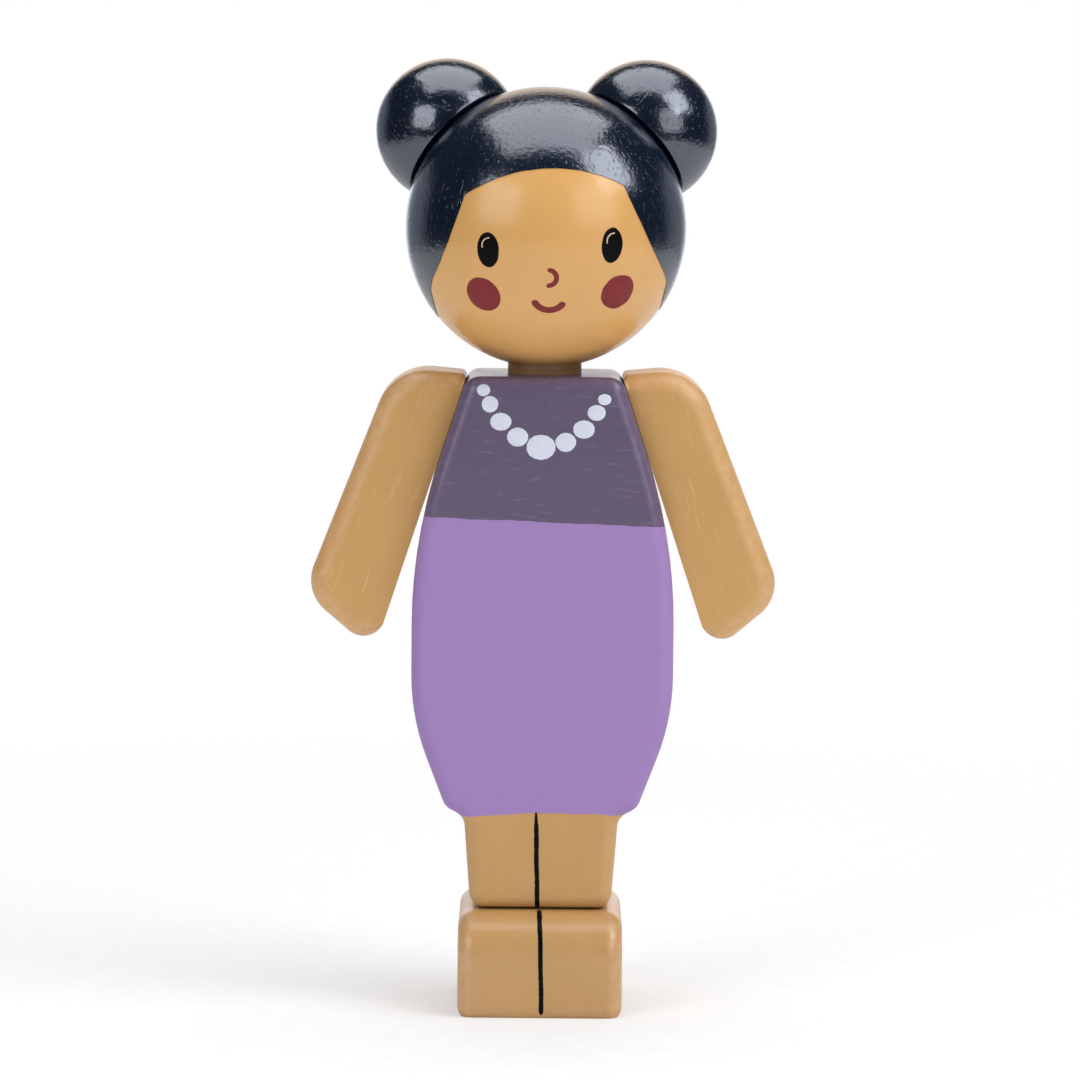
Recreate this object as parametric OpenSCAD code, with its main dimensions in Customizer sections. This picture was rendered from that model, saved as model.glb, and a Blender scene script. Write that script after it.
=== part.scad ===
// Wooden peg doll: a ball head with two hair buns turns on a neck dowel, and two flat
// arms swing on an elastic cord that runs through the shoulders of a board-cut body.
// Millimetres, +Z up, origin on the ground under the neck, the doll faces -Y.

/* [Head] */
// Diameter of the ball head
head_d = 35; // [32:0.5:40]
// Diameter of each hair bun
bun_d = 18; // [15:0.5:20]
// Slice cut off each bun where it sits on the head
bun_cut = 6.3; // [5:0.1:7]
// Diameter of the flat on the head that carries each bun
bun_flat_d = 15; // [12:0.1:16]
// Bevel round the base of each bun
bun_bevel = 0.3; // [0.2:0.05:0.6]
// Angle of the buns above level, seen from the front
bun_elevation = 43.5; // [38:0.5:52]
// Lean of the buns towards the back
bun_lean = 22; // [0:0.5:30]

/* [Body] */
// Height of the body board, leg ends to shoulders
body_h = 66.4; // [62:0.1:76]
// Thickness of the body board
body_t = 18; // [14:0.5:22]
// Width of the shoulders
shoulder_w = 19.1; // [17:0.1:22]
// Width of the skirt at its widest
hip_w = 32.5; // [29:0.1:36]
// Width of the skirt at its hem
hem_w = 23.9; // [23:0.1:26]
// Height of the hem's edge above the leg ends
hem_h = 12.7; // [10:0.1:14]
// Step from the hem's edge down to the legs
hem_step = 1.2; // [1:0.1:2.5]
// Width of the legs under the hem
leg_top_w = 19.2; // [17.5:0.1:20.5]
// Width of the legs at their ends
leg_end_w = 17.5; // [16:0.1:18.5]
// Slope of the shoulder sides from upright
shoulder_slope = 18.2; // [14:0.1:20]
// Slope of the skirt's lower sides from upright
skirt_slope = 21; // [18:0.5:26]
// Radius of the curve from shoulder to hip
hip_r = 66; // [40:1:70]
// Radius of the curve from hip to hem
skirt_r = 29; // [20:1:29]
// Radius of the body's outline corners
body_corner_r = 2.1; // [1.9:0.1:2.6]
// Radius of the body's rounded edges
body_edge_r = 1.8; // [1:0.1:1.8]

/* [Foot block] */
// Width of the foot block
foot_w = 20.4; // [19:0.1:24]
// Length of the foot block, heel to toe
foot_l = 23; // [20:0.5:28]
// Height of the foot block
foot_h = 12.7; // [10:0.1:16]
// Radius over the toes
toe_r = 5; // [3:0.1:6]
// Radius of the foot block's other outline corners
foot_corner_r = 2.3; // [2.1:0.1:3]
// Radius of the foot block's rounded edges
foot_edge_r = 2; // [1:0.1:2]
// Depth of the slice sawn off the rounded underside
sole_cut = 0.8; // [0.2:0.1:1]

/* [Arms] */
// Thickness of each arm
arm_t = 12; // [9:0.5:14]
// Width of the arm at the shoulder
arm_shoulder_w = 9; // [8.2:0.1:10]
// Width of the arm at the hand
arm_hand_w = 10.7; // [9.5:0.1:12.5]
// Length of the arm's inner side below the pivot
arm_inner_l = 29.8; // [26:0.1:33]
// Length of the arm's outer side below the pivot
arm_outer_l = 25.5; // [22:0.1:26]
// Rise of the arm's inner top corner above the pivot
arm_inner_rise = 6.9; // [6:0.1:7.5]
// Rise of the arm's outer top corner above the pivot
arm_outer_rise = 4.8; // [4:0.1:5.8]
// Radius of the shoulder's round
arm_shoulder_r = 6.6; // [4:0.1:7]
// Radius of the hand's outer corner
hand_outer_r = 5; // [2.3:0.1:5.5]
// Radius of the hand's inner corner
hand_inner_r = 2.7; // [2.3:0.1:3]
// Radius of the arm's rounded edges
arm_edge_r = 2; // [1:0.1:2]
// Depth of the pivot below the shoulders
pivot_drop = 6.5; // [6:0.1:8]

/* [Pegs] */
// Diameter of the neck dowel
neck_d = 9.2; // [8:0.1:9.6]
// Bare length of neck between shoulders and head
neck_show = 1.2; // [0.8:0.1:3]
// Length of the neck dowel inside the body
neck_in_body = 5.8; // [4:0.1:6]
// Length of the neck dowel inside the head
neck_in_head = 12; // [8:0.5:14]
// Diameter of each bun peg
bun_peg_d = 3; // [2:0.1:4]
// Length of each bun peg on either side of its seat
bun_peg_reach = 4; // [3:0.1:5]
// Diameter of each foot peg
foot_peg_d = 4; // [3:0.1:5]
// Length of each foot peg on either side of its seat
foot_peg_reach = 7; // [5:0.1:8]
// Distance between the two foot pegs
foot_peg_pitch = 9; // [8:0.1:10]
// Bevel on the ends of all pegs
peg_bevel = 0.4; // [0.2:0.1:0.5]

/* [Elastic] */
// Diameter of the elastic cord
cord_d = 2; // [1.6:0.1:2.2]
// Diameter of the cord's tunnel through the shoulders
tunnel_d = 2.6; // [2.5:0.1:3]
// Diameter of the knot at each end of the cord
knot_d = 3.8; // [3.4:0.1:4]
// Outer diameter of the plug in each arm
plug_d = 4.4; // [4.2:0.1:5]
// Length of the plug in each arm
plug_l = 3; // [2:0.1:3.4]

/* [Hidden] */
// Radial room for glue round a fixed peg
glue_gap = 0.05;
// Radial room round what turns
turn_gap = 0.05;
// Room between an arm and the body's side
arm_gap = 0.06;
// Room past the end of a peg in its blind hole
end_gap = 0.2;
// Room between a knot and its plug
knot_gap = 0.1;
// Run of every cutting shape past what it cuts
overrun = 2;
// Largest distance of a flat from the round that it stands for
facet_tol = 0.01;
// Bands along each rounded edge
edge_steps = 5;
// Most of the arm's top edge that the shoulder's round may take
shoulder_room_share = 0.8;
$fn = 96;

head_r = head_d / 2;
bun_r = bun_d / 2;
neck_r = neck_d / 2;
neck_bore_r = neck_r + turn_gap;
bun_base_r = sqrt(bun_r ^ 2 - (bun_r - bun_cut) ^ 2);
bun_seat = sqrt(head_r ^ 2 - (bun_flat_d / 2) ^ 2);
body_top = foot_h + body_h;
neck_low = body_top - neck_in_body;
head_low = body_top + neck_show;
head_z = head_low + sqrt(head_r ^ 2 - neck_bore_r ^ 2);
neck_high = head_low + neck_in_head;
heel_y = body_t / 2;
pivot_z = body_top - pivot_drop;
pivot_x = shoulder_w / 2 + pivot_drop * tan(shoulder_slope);
tunnel_l = pivot_x / cos(shoulder_slope);
knot_rest = sqrt((knot_d / 2) ^ 2 - (cord_d / 2 + turn_gap) ^ 2);
knot_u = arm_gap + plug_l + knot_gap + knot_rest;
arm_hole_l = knot_u - arm_gap + knot_d / 2 + end_gap;

// Outlines

function unit(v) = v / norm(v);

// One corner of an outline as an arc that touches both of its edges, as rows of
// [x, y, outward normal x, outward normal y], for outlines that run anticlockwise. It takes
// up no more than the given share of either edge.
function corner_arc(before, corner, after, r, room_share = 0.5) =
    let (
        back = unit(before - corner),
        on = unit(after - corner),
        half = acos(back * on) / 2,
        room = room_share * min(norm(before - corner), norm(after - corner)),
        reach = min(r / tan(half), room),
        arc_r = reach * tan(half),
        centre = corner + unit(back + on) * arc_r / sin(half),
        bulge = sign(on.x * back.y - on.y * back.x),
        first = corner + back * reach - centre,
        turn = bulge * (180 - 2 * half),
        steps = ceil((180 - 2 * half) / (2 * acos(1 - facet_tol / arc_r))),
        start = atan2(first.y, first.x)
    )
    [for (i = [0:steps])
        let (dir = [cos(start + turn * i / steps), sin(start + turn * i / steps)])
        [centre.x + arc_r * dir.x, centre.y + arc_r * dir.y, bulge * dir.x, bulge * dir.y]];

// A whole outline from corners given as [x, y, radius]
function rounded_outline(corners) =
    let (n = len(corners), at = [for (c = corners) [c.x, c.y]])
    [for (i = [0:n - 1])
        each corner_arc(at[(i + n - 1) % n], at[i], at[(i + 1) % n], corners[i][2])];

// The corners of the right half, top to bottom, turned into a closed mirrored outline
function mirrored_corners(half) =
    concat([for (i = [len(half) - 1:-1:0]) half[i]], [for (c = half) [-c.x, c.y, c[2]]]);

// A flat board of the given outline, lying on XY and centred on Z, with both of its
// faces' edges rounded
module rounded_board(outline, thickness, edge_r) {
    n = len(outline);
    side = [for (i = [0:edge_steps]) 90 * i / edge_steps];
    rings = concat(
        [for (a = side) [edge_r * (1 - sin(a)), edge_r * (1 - cos(a)) - thickness / 2]],
        [for (i = [edge_steps:-1:0])
            [edge_r * (1 - sin(side[i])), thickness / 2 - edge_r * (1 - cos(side[i]))]]
    );
    last = len(rings) - 1;
    points = [for (ring = rings) for (p = outline)
        [p.x - p[2] * ring[0], p.y - p[3] * ring[0], ring[1]]];
    walls = [for (k = [0:last - 1]) for (i = [0:n - 1])
        let (j = (i + 1) % n, low = k * n, high = low + n)
        each [[low + i, high + i, high + j], [low + i, high + j, low + j]]];
    cap = [for (i = [0:floor((n - 1) / 2) - 1])
        each concat([[i, i + 1, n - 1 - i]],
            i + 1 == n - 2 - i ? [] : [[i + 1, n - 2 - i, n - 1 - i]])];
    top = [for (t = cap) [t[2] + last * n, t[1] + last * n, t[0] + last * n]];
    polyhedron(points, concat(walls, cap, top), convexity = 4);
}

// Places

module mirrored() {
    mirror([1, 0, 0]) children();
}

module upright() {
    rotate([90, 0, 0]) children();
}

// The frame of a bun: +Z out of the head along the bun's axis, zero on the head's flat
module on_bun_seat() {
    translate([0, 0, head_z]) rotate([0, 90 - bun_elevation, 0]) rotate([-bun_lean, 0, 0])
        translate([0, 0, bun_seat]) children();
}

// The frame of a shoulder: +X out of the body's side along the pivot, zero on that side
module on_shoulder() {
    translate([pivot_x, 0, pivot_z]) rotate([0, -shoulder_slope, 0]) children();
}

module along_pivot(from) {
    translate([from, 0, 0]) rotate([0, 90, 0]) children();
}

// A round peg with bevelled ends, standing on its lower end
module peg(r, length) {
    rotate_extrude() polygon([
        [0, 0], [r - peg_bevel, 0], [r, peg_bevel],
        [r, length - peg_bevel], [r - peg_bevel, length], [0, length]
    ]);
}

// Body

module torso_board() {
    half = [
        [shoulder_w / 2, body_h, body_corner_r],
        [hip_w / 2, body_h - (hip_w - shoulder_w) / 2 / tan(shoulder_slope), hip_r],
        [hip_w / 2, hem_h + (hip_w - hem_w) / 2 / tan(skirt_slope), skirt_r],
        [hem_w / 2, hem_h, body_corner_r],
        [leg_top_w / 2, hem_h - hem_step, body_corner_r],
        [leg_end_w / 2, 0, body_corner_r]
    ];
    translate([0, 0, foot_h]) upright()
        rounded_board(rounded_outline(mirrored_corners(half)), body_t, body_edge_r);
}

// A round run through both shoulders, square to each side and mitred in the middle, that
// ends the given distance outside the body's sides
module shoulder_run(d, beyond) {
    module half_run() {
        intersection() {
            on_shoulder() along_pivot(-tunnel_l - overrun)
                cylinder(d = d, h = tunnel_l + overrun + beyond);
            translate([0, -body_t / 2, foot_h]) cube([hip_w, body_t, body_h]);
        }
    }
    half_run();
    mirrored() half_run();
}

module torso() {
    color("#9d7eb9") difference() {
        torso_board();
        translate([0, 0, neck_low - end_gap])
            cylinder(r = neck_r + glue_gap, h = neck_in_body + end_gap + overrun);
        for (side = [-1, 1])
            translate([side * foot_peg_pitch / 2, 0, foot_h - overrun])
                cylinder(d = foot_peg_d + 2 * glue_gap, h = foot_peg_reach + end_gap + overrun);
        shoulder_run(tunnel_d, overrun);
    }
}

// Foot block

module foot_block() {
    profile = rounded_outline([
        [-heel_y, -sole_cut, foot_corner_r],
        [foot_l - heel_y, -sole_cut, foot_corner_r],
        [foot_l - heel_y, foot_h, toe_r],
        [-heel_y, foot_h, foot_corner_r]
    ]);
    color("#bc9262") difference() {
        rotate([0, 0, -90]) upright() rounded_board(profile, foot_w, foot_edge_r);
        translate([-foot_w, -foot_l, -sole_cut - overrun])
            cube([2 * foot_w, 2 * foot_l, sole_cut + overrun]);
        for (side = [-1, 1])
            translate([side * foot_peg_pitch / 2, 0, foot_h - foot_peg_reach - end_gap])
                cylinder(d = foot_peg_d + 2 * glue_gap, h = foot_peg_reach + end_gap + overrun);
    }
}

module foot_peg_left() {
    color("#d9bd8c") translate([foot_peg_pitch / 2, 0, foot_h - foot_peg_reach])
        peg(foot_peg_d / 2, 2 * foot_peg_reach);
}

module foot_peg_right() {
    mirrored() foot_peg_left();
}

// Head

module neck_peg() {
    color("#c19763") translate([0, 0, neck_low])
        peg(neck_r, neck_in_body + neck_show + neck_in_head);
}

module bun_flat() {
    on_bun_seat() cylinder(r = head_r, h = head_r);
    on_bun_seat() translate([0, 0, -bun_peg_reach - end_gap])
        cylinder(d = bun_peg_d + 2 * glue_gap, h = bun_peg_reach + end_gap + overrun);
}

module head() {
    color("#e0ae6f") difference() {
        translate([0, 0, head_z]) sphere(d = head_d);
        bun_flat();
        mirrored() bun_flat();
        translate([0, 0, body_top]) cylinder(r = neck_bore_r, h = neck_high + end_gap - body_top);
    }
}

module bun_left() {
    color("#161f2a") on_bun_seat() difference() {
        translate([0, 0, bun_r - bun_cut]) sphere(d = bun_d);
        translate([0, 0, -bun_d]) cylinder(d = 2 * bun_d, h = bun_d);
        rotate_extrude() polygon([
            [bun_base_r - bun_bevel, 0], [bun_base_r + bun_bevel, 0],
            [bun_base_r + bun_bevel, 2 * bun_bevel]
        ]);
        translate([0, 0, -overrun])
            cylinder(d = bun_peg_d + 2 * glue_gap, h = bun_peg_reach + end_gap + overrun);
    }
}

module bun_right() {
    mirrored() bun_left();
}

module bun_peg_left() {
    color("#d9bd8c") on_bun_seat() translate([0, 0, -bun_peg_reach])
        peg(bun_peg_d / 2, 2 * bun_peg_reach);
}

module bun_peg_right() {
    mirrored() bun_peg_left();
}

// Arms

// The arm seen from the front: its inner side is flat and keeps sharp edges, so the
// rounding of the edges runs out there
function arm_outline() =
    let (
        hand_in = [0, -arm_inner_l],
        hand_out = [arm_hand_w, -arm_outer_l],
        top_out = [arm_shoulder_w, arm_outer_rise],
        top_in = [0, arm_inner_rise]
    )
    concat(
        [for (p = corner_arc(top_in, hand_in, hand_out, hand_inner_r))
            [p.x, p.y, max(p[2], 0), p[3]]],
        corner_arc(hand_in, hand_out, top_out, hand_outer_r),
        corner_arc(hand_out, top_out, top_in, arm_shoulder_r, shoulder_room_share),
        [[top_in.x, top_in.y, 0, norm(top_out - top_in) / arm_shoulder_w]]
    );

module arm_left() {
    color("#c29761") on_shoulder() difference() {
        translate([arm_gap, 0, 0]) upright() rounded_board(arm_outline(), arm_t, arm_edge_r);
        along_pivot(arm_gap - overrun)
            cylinder(d = plug_d + 2 * glue_gap, h = arm_hole_l + overrun);
    }
}

module arm_right() {
    mirrored() arm_left();
}

module arm_plug_left() {
    color("#d9bd8c") on_shoulder() along_pivot(arm_gap) difference() {
        cylinder(d = plug_d, h = plug_l);
        translate([0, 0, -overrun])
            cylinder(d = cord_d + 2 * turn_gap, h = plug_l + 2 * overrun);
    }
}

module arm_plug_right() {
    mirrored() arm_plug_left();
}

// Elastic

module knot() {
    on_shoulder() translate([knot_u, 0, 0]) sphere(d = knot_d);
}

module shoulder_elastic() {
    color("#f0ede4") union() {
        shoulder_run(cord_d, knot_u);
        knot();
        mirrored() knot();
    }
}

torso();
foot_block();
foot_peg_left();
foot_peg_right();
neck_peg();
head();
bun_left();
bun_right();
bun_peg_left();
bun_peg_right();
arm_left();
arm_right();
arm_plug_left();
arm_plug_right();
shoulder_elastic();
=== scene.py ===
"""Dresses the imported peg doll: painted wood pieces and plain studio light on one frame.

A ball head with two ball buns turns on a neck dowel. The body is cut from a board, stands on
a foot block and carries two flat arms on an elastic. Lengths are in metres, +Z is up and the
doll faces -Y, so its own left is +X.
"""

import logging
import math
from dataclasses import dataclass, field
from enum import Enum
from functools import cached_property
from typing import Any, Iterable, Optional, Sequence, Union

import bmesh
import bpy
from bmesh.types import BMesh, BMFace, BMVert
from mathutils import Matrix, Vector, noise
from mathutils.bvhtree import BVHTree


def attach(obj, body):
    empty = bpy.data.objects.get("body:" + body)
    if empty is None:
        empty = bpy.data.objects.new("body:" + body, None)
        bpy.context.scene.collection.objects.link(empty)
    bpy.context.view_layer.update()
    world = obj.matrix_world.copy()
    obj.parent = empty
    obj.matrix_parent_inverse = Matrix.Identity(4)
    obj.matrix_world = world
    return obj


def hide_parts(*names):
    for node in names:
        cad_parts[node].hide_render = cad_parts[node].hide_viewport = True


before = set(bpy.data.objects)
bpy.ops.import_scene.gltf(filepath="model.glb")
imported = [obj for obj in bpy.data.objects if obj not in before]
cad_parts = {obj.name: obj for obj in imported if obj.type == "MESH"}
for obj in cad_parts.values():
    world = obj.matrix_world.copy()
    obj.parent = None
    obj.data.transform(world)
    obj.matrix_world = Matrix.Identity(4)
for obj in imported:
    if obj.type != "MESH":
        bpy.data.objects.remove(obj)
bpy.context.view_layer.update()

LOG = logging.getLogger("peg_doll")
MM = 0.001
EDGE_WEAR_SHEEN_LAYER = "edge_rub"

Colour = tuple[float, float, float]
Socket = bpy.types.NodeSocket
Tone = Union[Colour, Socket]
Plane = tuple[Vector, Vector]

ORIGIN = Vector((0.0, 0.0, 0.0))
UP = Vector((0.0, 0.0, 1.0))
DOWN = Vector((0.0, 0.0, -1.0))


def chip(red: int, green: int, blue: int) -> Colour:
    """Turns a paint chip into the linear colour that a shader takes.

    Args:
        red: Red of the chip, 0 to 255.
        green: Green of the chip, 0 to 255.
        blue: Blue of the chip, 0 to 255.

    Returns:
        The linear colour.
    """
    def straighten(value: int) -> float:
        """Undoes the display curve of one channel."""
        share = value / 255
        return share / 12.92 if share <= 0.04045 else ((share + 0.055) / 1.055) ** 2.4

    return straighten(red), straighten(green), straighten(blue)


class Side(Enum):
    """The doll's own left and right, as the sign of X."""

    LEFT = 1
    RIGHT = -1

    @property
    def tag(self) -> str:
        """Ending of a piece's name on this side."""
        return self.name.lower()


def rotation(degrees: float, axis: str) -> Matrix:
    """Gives a turn about one axis."""
    return Matrix.Rotation(math.radians(degrees), 4, axis)


def lifted(height: float) -> Matrix:
    """Gives a move straight up."""
    return Matrix.Translation(UP * height)


def set_up(name: str, data: Any) -> bpy.types.Object:
    """Makes an object and puts it in the scene.

    Args:
        name: Name of the object.
        data: Its mesh, lamp or camera.

    Returns:
        The object.
    """
    made = bpy.data.objects.new(name, data)
    bpy.context.scene.collection.objects.link(made)
    return made


# Node sheets and shared effects


@dataclass
class NodeSheet:
    """A node tree with short calls for adding and wiring nodes."""

    tree: bpy.types.NodeTree

    def set(self, socket: Socket, value: Any) -> None:
        """Wires a socket to another, or sets its plain value.

        Args:
            socket: The input to fill.
            value: A socket to link from, a number, or a tuple.
        """
        if isinstance(value, bpy.types.NodeSocket):
            self.tree.links.new(value, socket)
        elif socket.type == "RGBA" and len(value) == 3:
            socket.default_value = (*value, 1.0)
        else:
            socket.default_value = value

    def add(self, kind: str, inputs: Optional[dict] = None, **settings: Any) -> bpy.types.Node:
        """Adds a node.

        Args:
            kind: The node's type.
            inputs: Values or sockets by input name or number.
            **settings: Plain properties of the node.

        Returns:
            The new node.
        """
        node = self.tree.nodes.new(kind)
        for name, value in settings.items():
            setattr(node, name, value)
        for name, value in (inputs or {}).items():
            self.set(node.inputs[name], value)
        return node

    def math(self, operation: str, *values: Any) -> Socket:
        """Adds a Math node and returns its result."""
        return self.add("ShaderNodeMath", dict(enumerate(values)), operation=operation).outputs[0]

    def noise(self, place: Socket, pitch: Any, detail: float) -> Socket:
        """Adds plain noise and returns its value."""
        return self.add("ShaderNodeTexNoise", {"Vector": place, "Scale": pitch, "Detail": detail}).outputs[0]

    def place(self) -> Socket:
        """Adds the place on the object and returns it."""
        return self.add("ShaderNodeTexCoord").outputs["Object"]

    def mix(self, share: Any, first: Tone, second: Tone) -> Socket:
        """Adds a colour mix and returns its result."""
        return self.add("ShaderNodeMix", {0: share, 6: first, 7: second}, data_type="RGBA").outputs[2]

    def ramp(self, value: Socket, low: Any, high: Any, bottom: float = 0.0, top: float = 1.0) -> Socket:
        """Spreads a band of values smoothly from a bottom to a top and returns the result."""
        band = {"Value": value, "From Min": low, "From Max": high, "To Min": bottom, "To Max": top}
        return self.add("ShaderNodeMapRange", band, interpolation_type="SMOOTHSTEP").outputs[0]

    def effect(self, group: bpy.types.NodeTree, inputs: dict) -> Socket:
        """Places a shared effect and returns its only output."""
        return self.add("ShaderNodeGroup", inputs, node_tree=group).outputs[0]

    def coat(self, inputs: dict, height: Socket, depth: float) -> None:
        """Adds the surface shader with its relief and makes it the output.

        Args:
            inputs: Values or sockets of the shader.
            height: The relief, as a value.
            depth: How deep the relief is.
        """
        bump = self.add("ShaderNodeBump", {"Height": height, "Strength": 1.0, "Distance": depth})
        shader = self.add("ShaderNodeBsdfPrincipled", {**inputs, "Normal": bump.outputs[0]})
        self.set(self.add("ShaderNodeOutputMaterial").inputs["Surface"], shader.outputs[0])


def blank(made: Union[bpy.types.Material, bpy.types.World]) -> NodeSheet:
    """Empties the nodes of a new material or world.

    Args:
        made: The material or world.

    Returns:
        Its empty sheet.
    """
    made.use_nodes = True
    made.node_tree.nodes.clear()
    return NodeSheet(made.node_tree)


class Effects:
    """The surface effects that several finishes share, each a group that is built once."""

    PIT_RIM = 0.07
    MOTTLE_BAND = (0.3, 0.7)
    WEAR_AND_SHEEN_BAND = (0.35, 0.65, 0.35, 1.0)

    @staticmethod
    def start(name: str, numbers: Sequence[str], result: str) -> tuple[NodeSheet, Any, Socket]:
        """Starts a group with one vector input, some numbers and one result.

        Args:
            name: Name of the group.
            numbers: Names of its number inputs.
            result: Name of its output.

        Returns:
            The group's sheet, its inputs and the socket of its result.
        """
        tree = bpy.data.node_groups.new(name, "ShaderNodeTree")
        tree.interface.new_socket("Vector", in_out="INPUT", socket_type="NodeSocketVector")
        for number in numbers:
            tree.interface.new_socket(number, in_out="INPUT", socket_type="NodeSocketFloat")
        tree.interface.new_socket(result, in_out="OUTPUT", socket_type="NodeSocketFloat")
        sheet = NodeSheet(tree)
        return sheet, sheet.add("NodeGroupInput").outputs, sheet.add("NodeGroupOutput").inputs[0]

    @staticmethod
    def stretched(sheet: NodeSheet, given: Any, detail: float) -> Socket:
        """Adds noise that is drawn out along the grain.

        Args:
            sheet: The sheet to add to.
            given: The group's inputs, with Vector, Across and Along.
            detail: Octaves of the noise.

        Returns:
            The noise value.
        """
        pitch = sheet.add("ShaderNodeCombineXYZ", {0: given["Across"], 1: given["Across"], 2: given["Along"]})
        ends = {0: given["Vector"], 1: pitch.outputs[0]}
        drawn = sheet.add("ShaderNodeVectorMath", ends, operation="MULTIPLY").outputs[0]
        return sheet.noise(drawn, 1.0, detail)

    @cached_property
    def pits(self) -> bpy.types.NodeTree:
        """Short open pores along the grain, as a mask.

        Returns:
            The group.
        """
        sheet, given, result = self.start("grain_pits", ("Across", "Along", "Threshold"), "Pits")
        low = given["Threshold"]
        high = sheet.math("ADD", low, self.PIT_RIM)
        sheet.set(result, sheet.ramp(self.stretched(sheet, given, 1.0), low, high))
        return sheet.tree

    @cached_property
    def streaks(self) -> bpy.types.NodeTree:
        """Long brush and grain streaks, as a value round one half.

        Returns:
            The group.
        """
        sheet, given, result = self.start("brush_streaks", ("Across", "Along"), "Streak")
        sheet.set(result, self.stretched(sheet, given, 3.0))
        return sheet.tree

    @cached_property
    def mottle(self) -> bpy.types.NodeTree:
        """Broad unevenness of a paint coat, as a mask.

        Returns:
            The group.
        """
        sheet, given, result = self.start("paint_mottle", ("Scale",), "Mottle")
        sheet.set(result, sheet.ramp(sheet.noise(given["Vector"], given["Scale"], 3.0), *self.MOTTLE_BAND))
        return sheet.tree

    @cached_property
    def rub_and_sheen(self) -> bpy.types.NodeTree:
        """Worn paint and painted sheen along rounded edges, as a mask.

        Returns:
            The group.
        """
        sheet, given, result = self.start("edge_wear_and_sheen", ("Edge", "Scale", "Amount"), "Worn and sheen")
        broken = sheet.ramp(sheet.noise(given["Vector"], given["Scale"], 4.0), *self.WEAR_AND_SHEEN_BAND)
        edge = sheet.math("MULTIPLY", given["Edge"], broken)
        sheet.set(result, sheet.math("MULTIPLY", edge, given["Amount"]))
        return sheet.tree


EFFECTS = Effects()

# Finishes


@dataclass(frozen=True)
class Grain:
    """How the pores and brush marks of one finish lie: turn to the grain, then pitches per metre."""

    turn: tuple[float, float, float] = (0.0, 0.0, 0.0)
    pit_across: float = 3200.0
    pit_along: float = 700.0
    pit_threshold: float = 0.63
    streak_across: float = 1500.0
    streak_along: float = 90.0

    def pits(self, sheet: NodeSheet, along: Socket) -> Socket:
        """Adds the pores and returns their mask."""
        lie = {"Across": self.pit_across, "Along": self.pit_along, "Threshold": self.pit_threshold}
        return sheet.effect(EFFECTS.pits, {"Vector": along, **lie})

    def streaks(self, sheet: NodeSheet, along: Socket) -> Socket:
        """Adds the brush marks and returns their value."""
        lie = {"Across": self.streak_across, "Along": self.streak_along}
        return sheet.effect(EFFECTS.streaks, {"Vector": along, **lie})


@dataclass(frozen=True)
class Finish:
    """A named finish whose material is built once."""

    name: str

    def draw(self, sheet: NodeSheet) -> None:
        """Draws the finish's nodes on its material's empty sheet."""
        raise NotImplementedError

    def material(self) -> bpy.types.Material:
        """Finds the finish's material, or builds it.

        Returns:
            The material.
        """
        made = bpy.data.materials.get(self.name)
        if not made:
            made = bpy.data.materials.new(self.name)
            self.draw(blank(made))
        return made


@dataclass(frozen=True)
class PaintFinish(Finish):
    """A coat of paint on wood that lets pores, brush marks and worn edges through, with painted sheen on the
    rounded edges.
    """

    colour: Colour
    shade: Colour
    pit_colour: Colour
    worn_colour: Colour
    grain: Grain = Grain()
    roughness: float = 0.42
    mottle_pitch: float = 160.0
    mottle_share: float = 0.5
    streak_share: float = 0.2
    pit_share: float = 0.35
    worn_share: float = 0.3
    wear_and_sheen_pitch: float = 900.0
    rough_spread: float = 0.06
    bump_depth: float = 0.05 * MM
    pit_bump: float = 1.0
    streak_bump: float = 0.4
    peel_bump: float = 0.12
    peel_pitch: float = 1500.0
    gloss: float = 0.5
    gloss_tint: Colour = (1.0, 1.0, 1.0)
    bend: float = 1.5

    def draw(self, sheet: NodeSheet) -> None:
        """Draws the paint's nodes.

        Args:
            sheet: The material's empty sheet.
        """
        place = sheet.place()
        along = sheet.add("ShaderNodeMapping", {"Vector": place, "Rotation": self.grain.turn}).outputs[0]
        pits, streak = self.grain.pits(sheet, along), self.grain.streaks(sheet, along)
        mottle = sheet.effect(EFFECTS.mottle, {"Vector": place, "Scale": self.mottle_pitch})
        peel = sheet.effect(EFFECTS.mottle, {"Vector": place, "Scale": self.peel_pitch})
        edge = sheet.add("ShaderNodeAttribute", attribute_name=EDGE_WEAR_SHEEN_LAYER).outputs["Fac"]
        worn = sheet.effect(
            EFFECTS.rub_and_sheen, {"Vector": along, "Edge": edge, "Scale": self.wear_and_sheen_pitch, "Amount": self.worn_share})
        colour = sheet.mix(sheet.math("MULTIPLY", mottle, self.mottle_share), self.colour, self.shade)
        colour = sheet.mix(sheet.math("MULTIPLY", streak, self.streak_share), colour, self.shade)
        # Rounded edges turn lighter: partly worn paint, partly painted sheen where they catch the light.
        colour = sheet.mix(worn, colour, self.worn_colour)
        colour = sheet.mix(sheet.math("MULTIPLY", pits, self.pit_share), colour, self.pit_colour)
        height = sheet.math("MULTIPLY", pits, -self.pit_bump)
        height = sheet.math("MULTIPLY_ADD", streak, self.streak_bump, height)
        height = sheet.math("MULTIPLY_ADD", peel, self.peel_bump, height)
        rough = sheet.math("MULTIPLY_ADD", mottle, self.rough_spread, self.roughness)
        sheet.coat({
            "Base Color": colour, "Roughness": rough, "Specular IOR Level": self.gloss,
            "Specular Tint": self.gloss_tint, "IOR": self.bend,
        }, height, self.bump_depth)


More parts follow.
